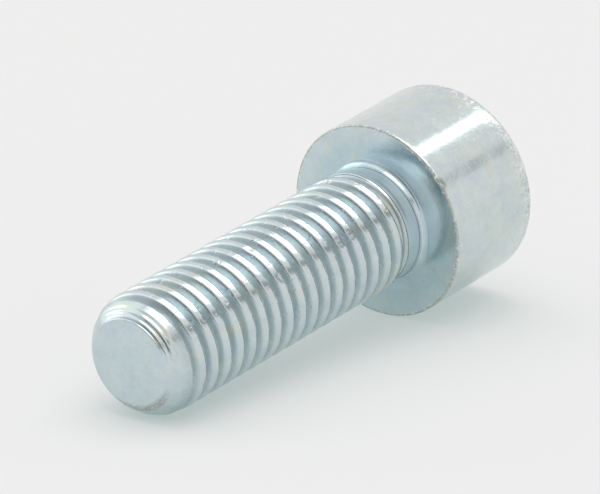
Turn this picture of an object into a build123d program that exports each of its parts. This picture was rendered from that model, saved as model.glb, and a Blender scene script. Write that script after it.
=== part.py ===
"""Hexagon-socket head cap screw, M10 by 30 mm, threaded nearly to the head.

One piece of steel, standing on its head: Z runs along the axis from the head
top at zero, past the bearing face, to the tip. The threaded length is a plain
cylinder over the crests of the M10 x 1.5 thread. Units are millimetres.
"""
import os
from math import radians, tan

from build123d import *

# Head
head_diameter = 15.8
head_height = 10.0
head_top_radius = 1.0
rim_break = 0.15

# Hexagon socket in the head
socket_across_flats = 8.05
socket_depth = 5.0
socket_mouth_diameter = 9.5
socket_mouth_angle = 60.0
socket_point_angle = 60.0

# Shank under the head
shank_length = 30.0
neck_diameter = 9.24
underhead_radius = 0.55
neck_length = 1.9

# Envelope of the thread, from its run-out at the neck
crest_diameter = 9.85
runout_length = 1.4

# Tip, rounded over the last turns down to a flat end face
end_face_diameter = 7.0
tip_crown_length = 2.9

# Outline heights and radii that follow from the sizes above
bearing_z = head_height
neck_end_z = bearing_z + neck_length
full_thread_z = neck_end_z + runout_length
tip_z = bearing_z + shank_length
crown_z = tip_z - tip_crown_length
head_r = head_diameter / 2
neck_r = neck_diameter / 2
crest_r = crest_diameter / 2
end_r = end_face_diameter / 2
fillet_r = underhead_radius

# The turned blank: head, under-head fillet, neck, and a shank at the crest
# diameter that rounds over into the flat end face
with BuildPart() as blank:
    with BuildSketch(Plane.XZ) as half_section:
        with BuildLine() as outline:
            Line((0, 0), (head_r - head_top_radius, 0))
            edge = TangentArc(
                (head_r - head_top_radius, 0),
                (head_r, head_top_radius),
                tangent=(1, 0),
            )
            Polyline(
                edge @ 1,
                (head_r, bearing_z - rim_break),
                (head_r - rim_break, bearing_z),
                (neck_r + fillet_r, bearing_z),
            )
            fillet_arc = TangentArc(
                (neck_r + fillet_r, bearing_z),
                (neck_r, bearing_z + fillet_r),
                tangent=(-1, 0),
            )
            Polyline(
                fillet_arc @ 1,
                (neck_r, neck_end_z),
                (crest_r, full_thread_z),
                (crest_r, crown_z),
            )
            crown = TangentArc((crest_r, crown_z), (end_r, tip_z), tangent=(0, 1))
            Polyline(crown @ 1, (0, tip_z), (0, 0))
        make_face()
    revolve(axis=Axis.Z)

# Hexagon socket: straight walls, a conical bottom left by the punch, and a
# conical chamfer at the mouth that reaches past the hexagon's corners
flat_r = socket_across_flats / 2
mouth_r = socket_mouth_diameter / 2
with BuildPart() as socket:
    with BuildSketch(Plane.XY):
        RegularPolygon(radius=flat_r, side_count=6, major_radius=False)
    extrude(amount=socket_depth)
    with BuildSketch(Plane.XZ):
        with BuildLine():
            Polyline(
                (0, socket_depth),
                (flat_r, socket_depth),
                (0, socket_depth + flat_r / tan(radians(socket_point_angle))),
                close=True,
            )
        make_face()
    revolve(axis=Axis.Z)
    with BuildSketch(Plane.XZ):
        with BuildLine():
            Polyline(
                (0, 0),
                (mouth_r, 0),
                (0, mouth_r / tan(radians(socket_mouth_angle))),
                close=True,
            )
        make_face()
    revolve(axis=Axis.Z)

with BuildPart() as bolt:
    add(blank.part)
    add(socket.part, mode=Mode.SUBTRACT)

bolt.part.label = "bolt"
os.makedirs("parts", exist_ok=True)
export_step(bolt.part, "parts/bolt.step")

print("volume mm3", round(bolt.part.volume, 1))
print("mass g", round(bolt.part.volume * 7.85e-3, 2))
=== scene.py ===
"""Looks of a zinc-plated socket head bolt: its rolled thread, finish and studio.

Lengths in the classes are millimetres along the bolt's own frame: Z runs from
the head's top face at zero to the rounded tip. Angles are degrees about Z.
The counts and shares of rows in the rows methods only set how finely a
stretch is meshed, with rows close to each edge that is to look crisp.
"""

import logging
from collections.abc import Sequence
from dataclasses import dataclass, field
from enum import Enum
from math import atan2, cos, pi, radians, sin, sqrt, tan, tau
from typing import Union

import bpy
import numpy as np
from mathutils import Matrix, Vector

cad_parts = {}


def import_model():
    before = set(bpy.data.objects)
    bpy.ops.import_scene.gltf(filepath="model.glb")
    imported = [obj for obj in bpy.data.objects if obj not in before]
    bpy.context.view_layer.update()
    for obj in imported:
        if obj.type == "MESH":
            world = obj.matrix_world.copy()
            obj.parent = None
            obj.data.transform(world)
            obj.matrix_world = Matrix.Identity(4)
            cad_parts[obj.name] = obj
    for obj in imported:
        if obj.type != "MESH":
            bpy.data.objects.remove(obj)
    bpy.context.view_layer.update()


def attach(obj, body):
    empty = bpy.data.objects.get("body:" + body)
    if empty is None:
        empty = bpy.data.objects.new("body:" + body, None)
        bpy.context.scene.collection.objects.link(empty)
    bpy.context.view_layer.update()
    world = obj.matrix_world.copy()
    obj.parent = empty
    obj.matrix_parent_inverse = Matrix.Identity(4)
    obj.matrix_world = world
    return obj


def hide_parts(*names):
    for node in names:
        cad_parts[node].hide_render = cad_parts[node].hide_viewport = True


LOG = logging.getLogger("bolt")
MM = 0.001
NODE = "bolt"

Number = Union[int, float]
Numbers = Union[float, np.ndarray]
Colour = tuple[float, float, float]
Rows = tuple[np.ndarray, np.ndarray]


def smoothstep(low: Number, high: Number, value: np.ndarray) -> np.ndarray:
    """Cubic step from 0 at low to 1 at high: 3t^2 - 2t^3 of the clamped share t.

    Args:
        low: value where the step leaves 0.
        high: value where the step reaches 1.
        value: where the step is wanted.

    Returns:
        The step, one number for each value.
    """
    share = np.clip((value - low) / (high - low), 0.0, 1.0)
    return share * share * (3.0 - 2.0 * share)


def soft_min(first: np.ndarray, second: np.ndarray, blend: Numbers) -> np.ndarray:
    """Smaller of two values, rounded over where they are within a blend width.

    Where the two differ by less than blend, the minimum drops by a further
    quarter of (blend - difference) squared over blend, which joins both
    branches with no kink.

    Args:
        first: one surface.
        second: the other surface.
        blend: difference below which the join is rounded.

    Returns:
        The rounded minimum.
    """
    overlap = np.clip(blend - np.abs(first - second), 0.0, None)
    return np.minimum(first, second) - overlap * overlap / (4.0 * blend)


def soft_max(first: np.ndarray, second: np.ndarray, blend: Numbers) -> np.ndarray:
    """Larger of two values, rounded like soft_min."""
    return -soft_min(-first, -second, blend)


def stretch(radii: tuple[Numbers, Numbers], heights: tuple[Numbers, Numbers],
            shares: Sequence[float], ring: np.ndarray) -> Rows:
    """Rows along a straight line: (1 - share) times its start plus share times its end.

    Args:
        radii: radius at the line's start and end, a number or one for each column.
        heights: height at its start and end, in the same way.
        shares: where the rows lie, between 0 at the start and 1 at the end.
        ring: a one for each column.

    Returns:
        Radius and height, one row of the grid each.
    """
    share = np.asarray(shares)[:, None] * ring
    return ((1.0 - share) * radii[0] + share * radii[1],
            (1.0 - share) * heights[0] + share * heights[1])


def arc(centre: tuple[Numbers, float], size: float, turn: tuple[float, float],
        count: int, ring: np.ndarray) -> Rows:
    """Rows along a rounded edge: its centre plus size times (sine, minus cosine) of the turn.

    The turn is 0 where the edge faces the head's top, 90 degrees where it
    faces outwards and 180 degrees where it faces the tip.

    Args:
        centre: radius and height of the rounding's centre.
        size: the rounding's radius.
        turn: first and last angle in degrees.
        count: number of rows.
        ring: a one for each column.

    Returns:
        Radius and height, one row of the grid each.
    """
    angle = np.radians(np.linspace(*turn, count))[:, None] * ring
    return centre[0] + size * np.sin(angle), centre[1] - size * np.cos(angle)


def stacked(*stretches: Rows) -> Rows:
    """Rows of several stretches, one after the other."""
    return np.vstack([part[0] for part in stretches]), np.vstack([part[1] for part in stretches])


class Waves:
    """Smooth seeded unevenness: a sum of sine waves in angle and height."""

    def __init__(self, seed: int, count: int, longest: float, shortest: float) -> None:
        """Draws the waves.

        Args:
            seed: start of the random draws.
            count: number of waves.
            longest: longest wave, in millimetres.
            shortest: shortest wave, in millimetres.
        """
        draw = np.random.default_rng(seed)
        self.lobes = draw.integers(1, 14, count)
        self.length = draw.uniform(shortest, longest, count)
        self.phase = draw.uniform(0.0, tau, count)

    def at(self, angle: np.ndarray, height: np.ndarray) -> np.ndarray:
        """Sum of sin(lobes * angle + 2 pi height / length + phase), over the root of the count.

        Args:
            angle: angles in radians.
            height: heights in millimetres.

        Returns:
            Unevenness, mostly between -1 and 1.
        """
        total = np.zeros(np.broadcast(angle, height).shape)
        for lobes, length, phase in zip(self.lobes, self.length, self.phase):
            total += np.sin(lobes * angle + tau * height / length + phase)
        return total / sqrt(len(self.lobes))


@dataclass(frozen=True)
class Nick:
    """A dent knocked into a thread crest."""

    angle: float
    height: float
    reach: float = 0.30
    depth: float = 0.06

    def bite(self, angle: np.ndarray, height: np.ndarray, radius: float) -> np.ndarray:
        """Depth of the dent: a bell shape, depth * exp(-(distance / reach)^2).

        Args:
            angle: angles in radians.
            height: heights in millimetres.
            radius: radius on which distances round the bolt are measured.

        Returns:
            How far the surface is pushed in.
        """
        turn = np.angle(np.exp(1j * (angle - radians(self.angle))))
        across = turn * radius
        along = height - self.height
        return self.depth * np.exp(-(across * across + along * along) / self.reach**2)


@dataclass
class Socket:
    """The hexagon socket that opens in the head's top face."""

    across_flats: float = 8.05
    depth: float = 5.0
    mouth_radius: float = 4.75
    cone_angle: float = 60.0

    @property
    def slope(self) -> float:
        """Radius gained a millimetre of height on the bottom cone and the mouth chamfer."""
        return tan(radians(self.cone_angle))

    @property
    def bottom(self) -> float:
        """Height of the bottom cone's point."""
        return self.depth + self.across_flats / 2.0 / self.slope

    def hexagon(self, angle: np.ndarray) -> np.ndarray:
        """Radius of the hexagon: half across flats over cos of the angle from a flat's middle.

        Args:
            angle: angles in radians, with corners at zero and every sixth of a turn.

        Returns:
            The radius at each angle.
        """
        sixth = pi / 3.0
        from_flat = np.mod(angle, sixth) - sixth / 2.0
        return self.across_flats / 2.0 / np.cos(from_flat)

    def rows(self, angle: np.ndarray) -> Rows:
        """Bottom cone, flat corners, walls and mouth chamfer, from the axis outwards.

        Args:
            angle: the column angles in radians.

        Returns:
            Radius and height, one row of the grid each.
        """
        ring = np.ones_like(angle)
        flat = self.across_flats / 2.0
        hexagon = self.hexagon(angle)
        lip = (self.mouth_radius - hexagon) / self.slope
        return stacked(
            stretch((0.0, flat), (self.bottom, self.depth), np.linspace(0.12, 1.0, 8), ring),
            stretch((flat, hexagon), (self.depth, self.depth), (0.5, 0.96, 1.0), ring),
            stretch((hexagon, hexagon), (self.depth, lip), (0.02, 0.25, 0.5, 0.75, 0.98, 1.0), ring),
            stretch((hexagon, self.mouth_radius), (lip, 0.0), (0.05, 0.5, 0.95, 1.0), ring),
        )


@dataclass
class Head:
    """The plain cylindrical head, from its top face to the bearing face."""

    radius: float = 7.9
    height: float = 10.0
    top_radius: float = 1.0
    rim_radius: float = 0.16
    unevenness: float = 0.008
    even_edge: float = 0.6
    waves: Waves = field(default_factory=lambda: Waves(11, 10, 9.0, 2.5))

    def rows(self, inner: float, outer: float, angle: np.ndarray) -> Rows:
        """Top face, rounded top edge, side, rim and bearing face.

        The side is hollowed by the unevenness times (1 + waves), never less
        than nothing, and stays even within even_edge of both faces.

        Args:
            inner: radius where the top face starts, at the socket's mouth.
            outer: radius where the bearing face ends, at the fillet.
            angle: the column angles in radians.

        Returns:
            Radius and height, one row of the grid each.
        """
        ring = np.ones_like(angle)
        top_edge = self.radius - self.top_radius
        rim_edge = self.radius - self.rim_radius
        rim_base = self.height - self.rim_radius
        radius, height = stacked(
            stretch((inner, top_edge), (0.0, 0.0), (0.05, 0.35, 0.7, 0.97), ring),
            arc((top_edge, self.top_radius), self.top_radius, (0.0, 90.0), 12, ring),
            stretch((self.radius, self.radius), (self.top_radius, rim_base),
                    np.linspace(0.0, 1.0, 22)[1:-1], ring),
            arc((rim_edge, rim_base), self.rim_radius, (90.0, 180.0), 6, ring),
            stretch((rim_edge, outer), (self.height, self.height),
                    (0.04, 0.2, 0.4, 0.6, 0.8, 0.96), ring),
        )
        side = (smoothstep(0.0, self.even_edge, height)
                * smoothstep(0.0, self.even_edge, self.height - height))
        hollow = np.clip(1.0 + self.waves.at(angle, height), 0.0, None)
        return radius - side * self.unevenness * hollow, height


@dataclass
class Shank:
    """Under-head fillet, neck, rolled thread and rounded tip."""

    start: float = 10.0
    length: float = 30.0
    neck_radius: float = 4.62
    fillet_radius: float = 0.55
    neck_length: float = 1.9
    runout: float = 1.4
    lip_height: float = 0.07
    lip_place: float = 0.30
    lip_width: float = 0.07
    pitch: float = 1.5
    crest_radius: float = 4.925
    pitch_radius: float = 4.71
    root_radius: float = 4.10
    flank_angle: float = 30.0
    crest_blend: float = 0.16
    edge_blend: float = 0.08
    crest_slope: float = 9.0
    crest_half: float = 1.5 / 7.0
    root_blend: float = 0.34
    crest_at_zero: float = 13.83
    face_radius: float = 3.5
    face_edge: float = 0.12
    crown_length: float = 2.9
    crown_blend: float = 0.05
    ridge_pitch: float = 0.46
    ridge_height: float = 0.055
    ridge_start: float = 1.6
    ridge_full: float = 2.4
    rows_per_pitch: int = 30
    unevenness: float = 0.008
    waves: Waves = field(default_factory=lambda: Waves(5, 18, 5.0, 0.7))
    nicks: tuple[Nick, ...] = (
        Nick(-98.9, 18.1), Nick(-100.6, 19.5), Nick(-100.6, 26.4, 0.45, 0.10),
        Nick(-158.4, 36.8, 0.4, 0.08), Nick(-143.1, 21.7), Nick(-106.9, 14.3),
        Nick(-63.8, 27.1), Nick(-82.1, 34.9), Nick(20.0, 24.0),
        Nick(75.0, 31.5, 0.45, 0.10), Nick(140.0, 19.0), Nick(-30.0, 16.4),
    )

    @property
    def tip(self) -> float:
        """Height of the flat end face."""
        return self.start + self.length

    @property
    def neck_end(self) -> float:
        """Height where the neck ends and the thread's run-out starts."""
        return self.start + self.neck_length

    def crown(self, height: np.ndarray) -> np.ndarray:
        """Radius of the rounded tip: a circle that leaves the crest line along the axis.

        The circle's radius is half of (length^2 / drop + drop), where drop is
        how much narrower the end face is than the crests. Shallow ridges, a
        cosine of the way along the circle, run round it near the end face.

        Args:
            height: heights in millimetres.

        Returns:
            The crown's radius, which keeps the crest radius below the crown.
        """
        drop = self.crest_radius - self.face_radius
        bend = (self.crown_length**2 / drop + drop) / 2.0
        up = np.clip(height - (self.tip - self.crown_length), 0.0, self.crown_length)
        along = bend * np.arcsin(up / bend)
        ridge = 0.5 + 0.5 * np.cos(tau * along / self.ridge_pitch)
        depth = self.ridge_height * smoothstep(self.ridge_start, self.ridge_full, along)
        return self.crest_radius - bend + np.sqrt(bend * bend - up * up) - depth * ridge

    def crest_offset(self, angle: np.ndarray, height: np.ndarray) -> np.ndarray:
        """Height above the nearest crest line, which climbs one pitch a turn.

        Args:
            angle: angles in radians.
            height: heights in millimetres.

        Returns:
            The offset, between minus and plus half a pitch.
        """
        turns = (height - self.crest_at_zero) / self.pitch - angle / tau
        return (turns - np.round(turns)) * self.pitch

    def thread(self, angle: np.ndarray, height: np.ndarray) -> np.ndarray:
        """Radius of the right-hand thread at an angle and a height.

        The distance d from the nearest crest line gives straight flanks:
        pitch radius plus (pitch / 4 - |d|) over the tangent of the flank
        angle. Rounded limits at the root and the crest cut them off, and both
        limits meet at the neck's radius. The rolled crest falls a little
        towards the tip and is sharper on the head's side. A lip, a bell shape
        along the height, runs round the start of the run-out.

        Args:
            angle: angles in radians.
            height: heights in millimetres.

        Returns:
            The radius at each angle and height.
        """
        offset = self.crest_offset(angle, height)
        rise = (self.pitch / 4.0 - np.abs(offset)) / tan(radians(self.flank_angle))
        fade = np.clip((height - self.neck_end) / self.runout, 0.0, 1.0)
        root = self.neck_radius + fade * (self.root_radius - self.neck_radius)
        crest = self.neck_radius + fade * (self.crest_radius - self.neck_radius)
        uneven = self.unevenness * self.waves.at(angle, height)
        tilt = tan(radians(self.crest_slope)) * np.clip(offset + self.crest_half, 0.0, None)
        top = crest + fade * (uneven - tilt)
        blend = np.where(offset > 0.0, self.crest_blend, self.edge_blend)
        radius = soft_max(soft_min(self.pitch_radius + rise, top, blend), root, self.root_blend)
        lip = (height - self.neck_end - self.lip_place) / self.lip_width
        radius = radius + self.lip_height * np.exp(-lip * lip)
        radius = soft_min(radius, self.crown(height), self.crown_blend)
        proud = smoothstep(self.root_radius, self.crest_radius, radius)
        for nick in self.nicks:
            radius = radius - nick.bite(angle, height, self.crest_radius) * proud
        return radius

    def rows(self, angle: np.ndarray) -> Rows:
        """Fillet, neck, thread, crown and end face, towards the tip.

        Args:
            angle: the column angles in radians.

        Returns:
            Radius and height, one row of the grid each.
        """
        ring = np.ones_like(angle)
        fillet_end = self.start + self.fillet_radius
        edge_base = self.tip - self.face_edge
        count = int(round((edge_base - self.neck_end) / self.pitch * self.rows_per_pitch))
        levels = np.linspace(self.neck_end, edge_base, count)[:, None] * ring
        threaded = self.thread(angle * np.ones_like(levels), levels)
        return stacked(
            arc((self.neck_radius + self.fillet_radius, fillet_end), self.fillet_radius,
                (0.0, -90.0), 9, ring),
            stretch((self.neck_radius, self.neck_radius), (fillet_end, self.neck_end),
                    np.linspace(0.0, 1.0, 6)[1:-1], ring),
            (threaded, levels),
            arc((threaded[-1] - self.face_edge, edge_base), self.face_edge,
                (112.5, 180.0), 4, ring),
            stretch((self.face_radius, 0.0), (self.tip, self.tip),
                    (0.04, 0.2, 0.4, 0.6, 0.8, 0.92), ring),
        )


@dataclass
class Bolt:
    """The whole bolt as one closed surface about its axis."""

    socket: Socket = field(default_factory=Socket)
    head: Head = field(default_factory=Head)
    shank: Shank = field(default_factory=Shank)
    columns: int = 150
    sharp_angle: float = 38.0

    def surface(self) -> tuple[np.ndarray, np.ndarray, np.ndarray]:
        """Rows of (radius, height) at every column, turned about the axis.

        A point is (radius cos angle, radius sin angle, height). Quads join
        neighbouring rows and columns, the last column joins the first, and a
        fan of triangles closes each end on the axis.

        Returns:
            Vertex places in metres, the quads and the triangles.
        """
        angle = np.arange(self.columns) * tau / self.columns
        outer = self.shank.neck_radius + self.shank.fillet_radius
        radius, height = stacked(self.socket.rows(angle),
                                 self.head.rows(self.socket.mouth_radius, outer, angle),
                                 self.shank.rows(angle))
        places = np.stack([radius * np.cos(angle), radius * np.sin(angle), height], axis=-1)
        ends = np.array([[0.0, 0.0, self.socket.bottom], [0.0, 0.0, self.shank.tip]])
        vertices = np.vstack([places.reshape(-1, 3), ends]) * MM
        column = np.arange(self.columns)
        beside = (column + 1) % self.columns
        row = np.arange(len(radius) - 1)[:, None] * self.columns
        above = row + self.columns
        quads = np.stack([row + column, row + beside, above + beside, above + column], axis=-1)
        first = np.full(self.columns, radius.size)
        top = above[-1]
        fans = np.vstack([np.stack([first, beside, column], axis=-1),
                          np.stack([top + column, top + beside, first + 1], axis=-1)])
        return vertices, quads.reshape(-1, 4), fans

    def build(self, material: bpy.types.Material) -> bpy.types.Object:
        """Makes the mesh object and gives it its finish.

        Args:
            material: the plating.

        Returns:
            The finished piece.
        """
        vertices, quads, fans = self.surface()
        mesh = bpy.data.meshes.new("bolt_body")
        mesh.from_pydata(vertices.tolist(), [], quads.tolist() + fans.tolist())
        mesh.update()
        mesh.polygons.foreach_set("use_smooth", np.ones(len(mesh.polygons), dtype=bool))
        mesh.set_sharp_from_angle(angle=radians(self.sharp_angle))
        mesh.materials.append(material)
        piece = bpy.data.objects.new("bolt_body", mesh)
        bpy.context.scene.collection.objects.link(piece)
        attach(piece, "root")
        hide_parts(NODE)
        LOG.info("%s: %d vertices, %d faces", piece.name, len(vertices), len(mesh.polygons))
        return piece


class Graph:
    """A node tree, with one method that makes any node."""

    def __init__(self, tree: bpy.types.NodeTree) -> None:
        """Takes over a tree and empties it."""
        self.tree = tree
        tree.nodes.clear()

    def node(self, kind: str, settings: dict | None = None,
             inputs: dict | None = None) -> bpy.types.Node:
        """Makes a node.

        Args:
            kind: the node's type name.
            settings: properties of the node, set first.
            inputs: socket names or numbers, with the Value, number, vector or
                colour that each takes.

        Returns:
            The node.
        """
        made = self.tree.nodes.new(kind)
        for name, setting in (settings or {}).items():
            setattr(made, name, setting)
        for name, value in (inputs or {}).items():
            socket = made.inputs[name]
            if isinstance(value, Value):
                self.tree.links.new(value.socket, socket)
            elif socket.type == "RGBA":
                socket.default_value = (*value, 1.0)
            else:
                socket.default_value = value
        return made

    def value(self, kind: str, output: Union[str, int] = 0, settings: dict | None = None,
              inputs: dict | None = None) -> "Value":
        """Makes a node and wraps one of its outputs.

        Args:
            kind: the node's type name.
            output: name or number of the output.
            settings: as in node.
            inputs: as in node.

        Returns:
            The wrapped output.
        """
        return Value(self, self.node(kind, settings, inputs).outputs[output])

    def mix(self, factor: "Value", first: Union["Value", Colour],
            second: Union["Value", Colour]) -> "Value":
        """Colour between a first and a second one, by a factor."""
        return self.value("ShaderNodeMix", 2, {"data_type": "RGBA"},
                          {0: factor, 6: first, 7: second})


class Value:
    """A socket that can be written in expressions."""

    def __init__(self, graph: Graph, socket: bpy.types.NodeSocket) -> None:
        """Wraps a socket of a graph."""
        self.graph = graph
        self.socket = socket

    def maths(self, operation: str, *others: Union["Value", Number],
              swap: bool = False) -> "Value":
        """Math node on this value and others.

        Args:
            operation: the node's operation.
            others: further operands.
            swap: puts this value last.

        Returns:
            The result.
        """
        operands = [*others, self] if swap else [self, *others]
        return self.graph.value("ShaderNodeMath", 0, {"operation": operation},
                                dict(enumerate(operands)))

    def __add__(self, other: Union["Value", Number]) -> "Value":
        """Sum."""
        return self.maths("ADD", other)

    __radd__ = __add__

    def __mul__(self, other: Union["Value", Number]) -> "Value":
        """Product."""
        return self.maths("MULTIPLY", other)

    __rmul__ = __mul__

    def __sub__(self, other: Union["Value", Number]) -> "Value":
        """Difference."""
        return self.maths("SUBTRACT", other)

    def __rsub__(self, other: Number) -> "Value":
        """Difference with this value second."""
        return self.maths("SUBTRACT", other, swap=True)

    def __truediv__(self, other: Union["Value", Number]) -> "Value":
        """Quotient."""
        return self.maths("DIVIDE", other)

    def __rtruediv__(self, other: Number) -> "Value":
        """Quotient with this value second."""
        return self.maths("DIVIDE", other, swap=True)

    def either(self, other: "Value") -> "Value":
        """Larger of two values."""
        return self.maths("MAXIMUM", other)

    def step(self, low: Number, high: Number) -> "Value":
        """Smooth step from 0 at low to 1 at high; low may be the larger."""
        return self.graph.value("ShaderNodeMapRange", 0, {"interpolation_type": "SMOOTHSTEP"},
                                {"Value": self, "From Min": low, "From Max": high})

    def part(self, axis: str) -> "Value":
        """One component of a vector."""
        return self.graph.value("ShaderNodeSeparateXYZ", axis, None, {0: self})

    def vector(self, operation: str, other: object = None, output: str = "Vector") -> "Value":
        """Vector Math node on this vector.

        Args:
            operation: the node's operation.
            other: the second vector, or the factor of a SCALE; None for neither.
            output: name of the output.

        Returns:
            The result.
        """
        inputs = {0: self}
        if other is not None:
            inputs["Scale" if operation == "SCALE" else 1] = other
        return self.graph.value("ShaderNodeVectorMath", output, {"operation": operation}, inputs)


class Site:
    """A place on the bolt in millimetres, as the shader sees it."""

    def __init__(self, graph: Graph) -> None:
        """Reads the place, its height and its distance from the axis.

        Args:
            graph: the material's graph.
        """
        self.place = graph.value("ShaderNodeTexCoord", "Object").vector("SCALE", 1.0 / MM)
        self.height = self.place.part("Z")
        flat = self.place.vector("MULTIPLY", (1.0, 1.0, 0.0))
        self.radial = flat.vector("LENGTH", None, "Value")


@dataclass(frozen=True)
class Ramp:
    """A soft step: 0 where it starts, 1 where it is full, which may be the lower end."""

    start: float
    full: float

    def of(self, measure: Value) -> Value:
        """Step of a measure."""
        return measure.step(self.start, self.full)


@dataclass(frozen=True)
class Band:
    """A soft-edged band: it rises from start to full and falls from fade to end."""

    start: float
    full: float
    fade: float
    end: float

    def of(self, measure: Value) -> Value:
        """Product of the rising and the falling step of a measure."""
        return measure.step(self.start, self.full) * measure.step(self.end, self.fade)


@dataclass(frozen=True)
class Zone:
    """A soft-edged region of the bolt, by height and by distance from the axis."""

    along: Union[Ramp, Band]
    out: Ramp

    def of(self, site: Site) -> Value:
        """Product of the steps along the height and outwards."""
        return self.along.of(site.height) * self.out.of(site.radial)


@dataclass(frozen=True)
class Noise:
    """Settings of a noise, with its scale in waves a millimetre."""

    scale: float
    detail: float = 2.0
    roughness: float = 0.5
    distortion: float = 0.0
    shift: tuple[float, float, float] | None = None

    def at(self, place: Value) -> Value:
        """Noise between 0 and 1 at a place, moved by the shift.

        Args:
            place: a place in millimetres.

        Returns:
            The noise.
        """
        if self.shift is not None:
            place = place.vector("ADD", self.shift)
        return place.graph.value("ShaderNodeTexNoise", 0, None, {
            "Vector": place, "Scale": self.scale, "Detail": self.detail,
            "Roughness": self.roughness, "Distortion": self.distortion})


@dataclass(frozen=True)
class Tint:
    """A colour laid over the plating where a noise passes a soft step."""

    colour: Colour
    where: Ramp
    share: float

    def over(self, base: Value, noise: Value) -> Value:
        """The base colour with the tint over it."""
        return base.graph.mix(self.where.of(noise) * self.share, base, self.colour)


@dataclass(frozen=True)
class Masks:
    """Shares, between 0 and 1, of what varies over the plating."""

    patches: Value
    speckle: Value
    fine: Value
    side: Value
    thread: Value
    groove: Value
    neck: Value
    worn: Value
    chipped: Value
    scuffed: Value


@dataclass(frozen=True)
class ZincPlate:
    """Bright zinc plate with a pale blue-green passivation.

    The fields are its colours, among them painted shade and painted light, the noises that vary it,
    the zones that differ in tint or take painted shade or light, and the zones and steps of the
    marks of use.
    """

    shank: Shank
    pale: Colour = (0.60, 0.71, 0.74)
    grey: Tint = Tint((0.64, 0.72, 0.715), Ramp(0.45, 0.65), 0.6)
    lilac: Tint = Tint((0.60, 0.675, 0.74), Ramp(0.48, 0.62), 0.6)
    straw: Tint = Tint((0.68, 0.71, 0.65), Ramp(0.44, 0.34), 0.7)
    grime: Colour = (0.30, 0.27, 0.21)
    # colour of the thin dark lines: painted shade along the crests' edges, and rings on the neck
    dark_line_colour: Colour = (0.26, 0.27, 0.26)
    bare: Colour = (0.93, 0.93, 0.92)
    # painted shade in the thread's grooves
    groove_shade: Colour = (0.82, 0.85, 0.86)
    # painted shade and darker reflection on the bearing face and fillet under the head
    bearing: Colour = (0.87, 0.925, 0.95)
    # painted light on the thread's roots and the neck
    bright: Colour = (0.86, 0.93, 0.96)
    roughness: float = 0.17
    dull: float = 0.13
    grain: float = 0.0058

    # Noises that vary the whole surface or break up the marks
    patches: Noise = Noise(0.33, 3.0, 0.55, 0.6)
    clouds: Noise = Noise(0.55, 4.0, 0.6, 0.4, (31.0, 7.0, 3.0))
    speckle: Noise = Noise(5.5, 2.0, 0.6)
    fine: Noise = Noise(2.2, 5.0, 0.7)
    mottle: Noise = Noise(0.9, 3.0, 0.6, 0.0, (0.0, 12.0, 4.0))
    dents: Noise = Noise(1.7, 2.0, 0.5, 0.0, (9.0, 3.0, 1.0))
    gaps: Noise = Noise(1.1, 3.0, 0.7)
    dots: Noise = Noise(3.2, 3.0, 0.75)
    stray: Noise = Noise(1.35, 4.0, 0.8, 0.0, (5.0, 0.0, 9.0))
    bruises: Noise = Noise(2.4, 4.0, 0.75, 0.0, (2.0, 8.0, 4.0))

    # Zones that differ in tint or gloss, or take painted shade (grooves, under the head) or painted
    # light (roots, neck)
    head_side: Ramp = Ramp(7.6, 7.8)
    crown: Band = Band(37.0, 38.2, 39.84, 39.96)
    thread: Zone = Zone(Band(11.6, 12.6, 36.6, 38.6), Ramp(6.0, 5.0))
    groove: Zone = Zone(Band(11.6, 12.6, 38.2, 39.4), Ramp(4.84, 4.60))
    above_root: Ramp = Ramp(4.10, 4.40)
    root: Ramp = Ramp(4.42, 4.15)
    under_head: Zone = Zone(Band(9.90, 9.98, 10.1, 10.4), Ramp(7.4, 5.7))
    neck: Zone = Zone(Band(10.2, 10.6, 11.9, 12.2), Ramp(5.0, 4.8))

    # Dark lines: painted shade along each crest's head-side edge, placed in pitches from the crest's
    # middle, and thin dark rings on the neck
    edge_shade_place: float = -0.142
    edge_shade_width: Ramp = Ramp(0.05, 0.02)
    edge_shade: Zone = Zone(Band(12.4, 13.4, 38.0, 39.0), Ramp(4.62, 4.78))
    edge_shade_gap: Ramp = Ramp(0.34, 0.52)
    rings: tuple[float, ...] = (10.56, 12.06, 12.38)
    ring_width: Ramp = Ramp(0.07, 0.03)
    ring_reach: Ramp = Ramp(5.1, 4.9)
    off_head: Ramp = Ramp(6.0, 5.5)

    # Marks of use, and a thin brown line at the tip: where they lie, and the steps that cut them out
    # of the noises
    worn_edge: Zone = Zone(Ramp(2.6, 0.4), Ramp(5.6, 7.0))
    worn_rim: Zone = Zone(Ramp(9.80, 9.90), Ramp(7.66, 7.76))
    # a thin brown line round the tip's edge, only on the side towards the table
    tip_edge_line: Zone = Zone(Ramp(39.5, 39.8), Ramp(3.2, 3.5))
    underside: tuple[float, float, float] = (-0.866, 0.500, 0.0)
    below: Ramp = Ramp(2.0, 3.3)
    speck: Ramp = Ramp(0.56, 0.66)
    worn_line: Ramp = Ramp(0.34, 0.56)
    stray_dot: Ramp = Ramp(0.70, 0.76)
    bruised_edge: Zone = Zone(Ramp(2.3, 0.7), Ramp(6.2, 7.2))
    bruised_rim: Zone = Zone(Ramp(9.70, 9.86), Ramp(7.60, 7.72))
    edge_bruise: Ramp = Ramp(0.50, 0.60)
    rim_bruise: Ramp = Ramp(0.54, 0.62)
    dent: Ramp = Ramp(0.60, 0.70)
    scuff: Ramp = Ramp(0.66, 0.74)
    scuffed_patch: Ramp = Ramp(0.48, 0.62)
    scuff_axis: tuple[float, float, float] = (0.2, 0.5, 1.0)
    scuff_turns: tuple[float, float] = (0.35, 2.2)
    scuff_grains: tuple[tuple[float, ...], ...] = ((5.5, 5.5, 0.42), (0.5, 6.0, 5.0))

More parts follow.
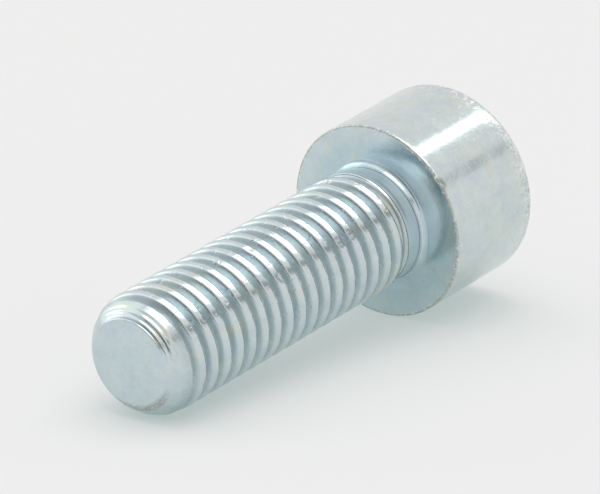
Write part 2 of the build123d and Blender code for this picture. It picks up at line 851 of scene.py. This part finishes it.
    def material(self) -> bpy.types.Material:
        """Builds the plating: tints, painted shade in the grooves and under the head, painted light
        on the roots and neck, fine grain, scuffs and worn edges.

        Returns:
            The material.
        """
        made = bpy.data.materials.new("zinc_plate")
        made.use_nodes = True
        graph = Graph(made.node_tree)
        site = Site(graph)
        masks = self.masks(site)
        shader = graph.value("ShaderNodeBsdfPrincipled", 0, None, {
            "Base Color": self.colour(site, masks), "Metallic": 1.0,
            "Roughness": self.rough(masks), "Normal": self.relief(site, masks)})
        graph.node("ShaderNodeOutputMaterial", None, {0: shader})
        return made

    def masks(self, site: Site) -> Masks:
        """Works out what several parts of the finish share.

        The groove's mask, which carries the painted shade in the grooves, is 0 on the crests and off
        the thread, 1 on the flanks and less at the roots.

        Args:
            site: place on the bolt.

        Returns:
            The masks.
        """
        return Masks(
            patches=self.patches.at(site.place),
            speckle=self.speckle.at(site.place),
            fine=self.fine.at(site.place),
            side=self.head_side.of(site.radial),
            thread=self.thread.of(site),
            groove=self.groove.of(site) * (0.35 + 0.65 * self.above_root.of(site.radial)),
            neck=self.neck.of(site),
            worn=self.wear(site),
            chipped=self.chips(site),
            scuffed=self.scuffs(site))

    def colour(self, site: Site, masks: Masks) -> Value:
        """Colour: the tints, then painted shade in the grooves and under the head and painted light
        on the roots and neck, then painted edge shade, dark rings and marks over them.

        Args:
            site: place on the bolt.
            masks: the shared masks.

        Returns:
            The colour.
        """
        graph = site.place.graph
        clouds = self.clouds.at(site.place)
        neutral = masks.side + 0.35 * masks.thread + 0.6 * self.crown.of(site.height)
        colour = graph.mix(neutral, self.pale, self.grey.colour)
        colour = self.grey.over(colour, masks.patches)
        colour = self.lilac.over(colour, clouds)
        colour = self.straw.over(colour, clouds)
        colour = colour.vector("SCALE", 0.93 + 0.10 * masks.speckle + 0.08 * (masks.fine - 0.5))
        # painted shade: the grooves' flanks darkened, less at the roots
        colour = graph.mix(masks.groove, colour, colour.vector("MULTIPLY", self.groove_shade))
        # painted shade and darker, bluer reflection under the head
        colour = graph.mix(self.under_head.of(site), colour, colour.vector("MULTIPLY", self.bearing))
        # painted light: the roots at half strength and the neck at 0.7, towards a pale colour
        root = masks.thread * self.root.of(site.radial)
        colour = graph.mix(root * 0.5 + masks.neck * 0.7, colour, self.bright)
        colour = colour.vector("SCALE", 0.89 + 0.22 * self.mottle.at(site.place))
        # painted shade along each crest's head-side edge, and thin dark rings on the neck
        colour = graph.mix(self.lines(site) * 0.85, colour, self.dark_line_colour)
        colour = graph.mix(masks.chipped, colour, self.bare)
        return graph.mix(masks.worn, colour, self.grime)

    def rough(self, masks: Masks) -> Value:
        """Roughness: that of the clean plate, more or less by each mask.

        Args:
            masks: the shared masks.

        Returns:
            The roughness.
        """
        return (self.roughness + 0.14 * (masks.fine - 0.5) + 0.10 * (masks.patches - 0.5)
                + 0.14 * masks.scuffed + 0.20 * masks.worn + 0.22 * masks.chipped
                - 0.03 * masks.side + self.dull * masks.groove + 0.20 * masks.neck)

    def relief(self, site: Site, masks: Masks) -> Value:
        """Bump: the grain stands up, and the marks and small dents lie below it.

        Args:
            site: place on the bolt.
            masks: the shared masks.

        Returns:
            The bumped normal.
        """
        dented = self.dent.of(self.dents.at(site.place)) * masks.thread
        height = (masks.fine + masks.speckle * 0.5 - masks.scuffed - masks.worn * 1.5
                  - masks.chipped * 2.0 - dented * 2.2)
        return site.place.graph.value("ShaderNodeBump", 0, None, {
            "Strength": 1.0, "Distance": self.grain * MM, "Height": height})

    def lines(self, site: Site) -> Value:
        """Thin dark lines: painted shade along each crest's head-side edge, and dark rings at given
        heights on the neck.

        The painted edge shade keeps its place across the crest, measured in pitches from the crest's
        middle line, which climbs one pitch a turn.

        Args:
            site: place on the bolt.

        Returns:
            Lines between 0 and 1.
        """
        turn = site.place.part("Y").maths("ARCTAN2", site.place.part("X")) / tau
        turns = (site.height - self.shank.crest_at_zero) / self.shank.pitch - turn
        across = turns - turns.maths("ROUND")
        # painted shade: a thin line along the crest's head-side edge
        edge_shade = self.edge_shade_width.of((across - self.edge_shade_place).maths("ABSOLUTE"))
        lines = edge_shade * self.edge_shade.of(site) * self.edge_shade_gap.of(self.gaps.at(site.place))
        for level in self.rings:
            ring = self.ring_width.of((site.height - level).maths("ABSOLUTE"))
            lines = lines.either(ring * self.ring_reach.of(site.radial))
        return lines * self.off_head.of(site.radial)

    def wear(self, site: Site) -> Value:
        """Brown specks on the head's top edge, thin lines at its rim and the tip, stray dots.

        Args:
            site: place on the bolt.

        Returns:
            Wear between 0 and 1.
        """
        dots = self.dots.at(site.place)
        below = self.below.of(site.place.vector("DOT_PRODUCT", self.underside, "Value"))
        # a thin brown line round the tip's edge, only on the side towards the table
        tip = self.tip_edge_line.of(site) * below
        stray = self.stray_dot.of(self.stray.at(site.place))
        specks = self.worn_edge.of(site) * self.speck.of(dots) * 0.7
        line = (self.worn_rim.of(site) * 0.5).either(tip * 0.55) * self.worn_line.of(dots)
        return specks.either(line).either(stray * 0.3)

    def chips(self, site: Site) -> Value:
        """Bright bruises along the head's top edge and here and there on its rim.

        Args:
            site: place on the bolt.

        Returns:
            Bruising between 0 and 1.
        """
        spots = self.bruises.at(site.place)
        edge = self.bruised_edge.of(site) * self.edge_bruise.of(spots)
        rim = self.bruised_rim.of(site) * self.rim_bruise.of(spots)
        return (edge * 0.75).either(rim)

    def scuffs(self, site: Site) -> Value:
        """Thin marks: the peaks of noise drawn out along two directions.

        Args:
            site: place on the bolt.

        Returns:
            Marks between 0 and 1.
        """
        marks = []
        for turn, stretched in zip(self.scuff_turns, self.scuff_grains):
            turned = site.place.graph.value(
                "ShaderNodeVectorRotate", 0, {"rotation_type": "AXIS_ANGLE"},
                {"Vector": site.place, "Axis": self.scuff_axis, "Angle": turn})
            line = self.scuff.of(Noise(1.0).at(turned.vector("MULTIPLY", stretched)))
            marks.append(line * self.scuffed_patch.of(Noise(0.5, 1.0).at(turned)))
        return marks[0].either(marks[1])


class Turn(Enum):
    """Named azimuths of the studio, in degrees from the -Y side towards +X."""

    CAMERA = -10.87
    TABLE = 45.9
    WINDOW = 33.5
    WALL = 112.0
    HIGH_WALL = 102.0
    DIM_SIDE = -95.0
    BEAM = 8.0


def direction(turn: Number, elevation: float) -> Vector:
    """Unit vector towards an azimuth and elevation, azimuth 0 being -Y.

    Args:
        turn: azimuth in degrees.
        elevation: elevation in degrees.

    Returns:
        The vector.
    """
    azimuth, flat = radians(turn), cos(radians(elevation))
    return Vector((sin(azimuth) * flat, -cos(azimuth) * flat, sin(radians(elevation))))


@dataclass(frozen=True)
class SkyPatch:
    """A soft-edged panel seen in the metal, bright or dark."""

    turn: Turn
    elevation: float
    half_width: float
    half_height: float
    soft: float
    colour: Colour

    def mask(self, graph: Graph, ray: Value) -> Value:
        """Share of the panel in a ray's direction.

        The ray is projected on the plane that faces the panel's centre, and
        the distance from the centre along each side is stepped off softly.

        Args:
            graph: the world's graph; not used.
            ray: direction of the ray.

        Returns:
            1 inside the panel, 0 outside.
        """
        centre = direction(self.turn.value, self.elevation)
        side = direction(self.turn.value + 90.0, 0.0)
        up = centre.cross(side) * -1.0
        ahead = ray.vector("DOT_PRODUCT", tuple(centre), "Value")
        safe = ahead.maths("MAXIMUM", 0.001)
        result = ahead.step(0.0, 0.05)
        for axis, half in ((side, self.half_width), (up, self.half_height)):
            reach = ray.vector("DOT_PRODUCT", tuple(axis), "Value").maths("ABSOLUTE") / safe
            result = result * reach.step(tan(radians(half + self.soft)), tan(radians(half)))
        return result


@dataclass
class Studio:
    """Pale surroundings, table, lamp and camera."""

    base: Colour = (0.91, 0.89, 0.88)
    backdrop: Colour = (0.90, 0.90, 0.895)
    patches: tuple[SkyPatch, ...] = (
        SkyPatch(Turn.WALL, 20.0, 40.0, 40.0, 14.0, (1.15, 1.15, 1.14)),  # bright wall
        SkyPatch(Turn.WALL, 12.0, 12.0, 10.0, 4.0, (1.8, 1.8, 1.8)),  # its brightest spot
        SkyPatch(Turn.HIGH_WALL, 50.0, 36.0, 12.0, 7.0, (0.64, 0.67, 0.70)),  # grey above it
        SkyPatch(Turn.WINDOW, 80.0, 20.0, 20.0, 12.0, (0.42, 0.42, 0.42)),  # dim ceiling
        SkyPatch(Turn.DIM_SIDE, 18.0, 42.0, 30.0, 10.0, (0.64, 0.66, 0.66)),  # dim far side
        SkyPatch(Turn.WINDOW, -8.0, 20.5, 29.0, 3.0, (2.2, 2.2, 2.2)),  # window
        SkyPatch(Turn.WINDOW, -48.0, 3.5, 18.0, 1.5, (2.4, 2.4, 2.4)),  # bright strip below it
        SkyPatch(Turn.CAMERA, -8.0, 3.5, 36.0, 3.0, (0.36, 0.36, 0.36)),  # dark bar beside it
        SkyPatch(Turn.BEAM, 63.0, 30.0, 3.5, 3.0, (0.08, 0.08, 0.08)),  # dark beam overhead
    )
    sensor: float = 36.0
    clip: tuple[float, float] = (10.0, 20000.0)
    lens: float = 384.2
    distance: float = 486.5
    camera_elevation: float = 44.69
    camera_roll: float = 119.96
    aim: tuple[float, float, float] = (1.052, -0.914, 19.27)
    rim_radius: float = 7.9
    rim_height: float = 9.9
    tip_radius: float = 4.925
    tip_height: float = 37.0
    table_half: float = 2000.0
    # the sheet's diffuse colour, warm, and its painted glow, blue-green, which lifts and tints its
    # shadows
    table_colour: Colour = (0.365, 0.315, 0.32)
    table_painted_glow: Colour = (0.345, 0.42, 0.41)
    lamp_spread: float = 50.0
    lamp_strength: float = 0.6
    lamp_left: float = 0.15
    lamp_away: float = 0.35

    def world(self) -> None:
        """Fills the world with the base colour and the panels; the camera sees white."""
        world = bpy.data.worlds.new("studio")
        world.use_nodes = True
        graph = Graph(world.node_tree)
        ray = graph.value("ShaderNodeTexCoord", "Generated")
        colour = self.base
        for patch in self.patches:
            colour = graph.mix(patch.mask(graph, ray), colour, patch.colour)
        light = graph.value("ShaderNodeBackground", 0, None, {0: colour, 1: 1.0})
        white = graph.value("ShaderNodeBackground", 0, None, {0: self.backdrop, 1: 1.0})
        camera = graph.value("ShaderNodeLightPath", "Is Camera Ray")
        both = graph.value("ShaderNodeMixShader", 0, None, {0: camera, 1: light, 2: white})
        graph.node("ShaderNodeOutputWorld", None, {0: both})
        bpy.context.scene.world = world

    def paper(self) -> bpy.types.Material:
        """Makes the table's white sheet, clear from behind: a diffuse surface with a painted glow,
        blue-green, that lifts and tints its shadows.

        Returns:
            The material.
        """
        made = bpy.data.materials.new("table_paper")
        made.use_nodes = True
        graph = Graph(made.node_tree)
        # the emission is a painted glow that lifts and tints the sheet's shadows; the warm diffuse
        # colour keeps its lit part neutral
        paper = graph.value("ShaderNodeBsdfPrincipled", 0, None, {
            "Base Color": self.table_colour, "Roughness": 1.0, "Specular IOR Level": 0.0,
            "Emission Color": self.table_painted_glow, "Emission Strength": 1.0})
        clear = graph.value("ShaderNodeBsdfTransparent")
        behind = graph.value("ShaderNodeNewGeometry", "Backfacing")
        both = graph.value("ShaderNodeMixShader", 0, None, {0: behind, 1: paper, 2: clear})
        graph.node("ShaderNodeOutputMaterial", None, {0: both})
        return made

    def table_normal(self) -> Vector:
        """Way that the table faces when it touches the rim and the last crest."""
        lean = atan2(self.rim_radius - self.tip_radius, self.tip_height - self.rim_height)
        return direction(Turn.TABLE.value, 0.0) * cos(lean) - Vector((0, 0, 1)) * sin(lean)

    def table(self) -> None:
        """Leans a flat square on the head's rim and the tip's last crest."""
        across = direction(Turn.TABLE.value, 0.0)
        rim = across * (-self.rim_radius * MM) + Vector((0, 0, self.rim_height * MM))
        normal = self.table_normal()
        side = normal.orthogonal().normalized() * (self.table_half * MM)
        up = normal.cross(side)
        corners = [tuple(rim + side * x + up * y) for x, y in ((-1, -1), (1, -1), (1, 1), (-1, 1))]
        mesh = bpy.data.meshes.new("table")
        mesh.from_pydata(corners, [], [(0, 1, 2, 3)])
        mesh.materials.append(self.paper())
        made = bpy.data.objects.new("table", mesh)
        bpy.context.scene.collection.objects.link(made)

    def camera_axes(self) -> tuple[Vector, Vector, Vector]:
        """Turns the camera about its own line of sight by the roll.

        Returns:
            Its right, up and backward axes.
        """
        back = direction(Turn.CAMERA.value, self.camera_elevation)
        level = Vector((0, 0, 1)).cross(back).normalized()
        over = back.cross(level)
        roll = radians(self.camera_roll)
        up = over * cos(roll) + level * sin(roll)
        return up.cross(back), up, back

    def lamp(self) -> None:
        """Lights the table softly from its left, for the shadow under the shank.

        The lamp's direction is a sum of three: the table's normal, the way
        that runs to the image's left along the table, and the way back.
        """
        data = bpy.data.lights.new("daylight", "SUN")
        data.angle = radians(self.lamp_spread)
        data.energy = self.lamp_strength
        lamp = bpy.data.objects.new("daylight", data)
        bpy.context.scene.collection.objects.link(lamp)
        normal = self.table_normal()
        right, _, back = self.camera_axes()
        left = (right.cross(normal)).cross(normal).normalized()
        left = left if left.dot(right) < 0.0 else -left
        away = left.cross(normal)
        away = away if away.dot(back) < 0.0 else -away
        towards = normal + left * self.lamp_left + away * self.lamp_away
        lamp.rotation_euler = towards.to_track_quat("Z", "Y").to_euler()
        lamp.visible_camera = False
        lamp.visible_glossy = False

    def camera(self) -> None:
        """Sets the camera at the photograph's angle, roll and perspective."""
        data = bpy.data.cameras.new("camera")
        data.sensor_width = self.sensor
        data.lens = self.lens
        data.clip_start, data.clip_end = (limit * MM for limit in self.clip)
        made = bpy.data.objects.new("camera", data)
        bpy.context.scene.collection.objects.link(made)
        right, up, back = self.camera_axes()
        place = Vector(self.aim) * MM + back * (self.distance * MM)
        made.matrix_world = Matrix((
            (right.x, up.x, back.x, place.x), (right.y, up.y, back.y, place.y),
            (right.z, up.z, back.z, place.z), (0.0, 0.0, 0.0, 1.0)))
        bpy.context.scene.camera = made

    def build(self) -> None:
        """Builds the whole set."""
        self.world()
        self.table()
        self.lamp()
        self.camera()
        bpy.context.scene.view_settings.view_transform = "Standard"
        LOG.info("studio: %d panels", len(self.patches))


def main() -> None:
    """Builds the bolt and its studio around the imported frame."""
    logging.basicConfig(level=logging.INFO, format="%(name)s: %(message)s")
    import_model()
    bolt = Bolt()
    bolt.build(ZincPlate(bolt.shank).material())
    Studio().build()


if __name__ == "__main__":
    main()
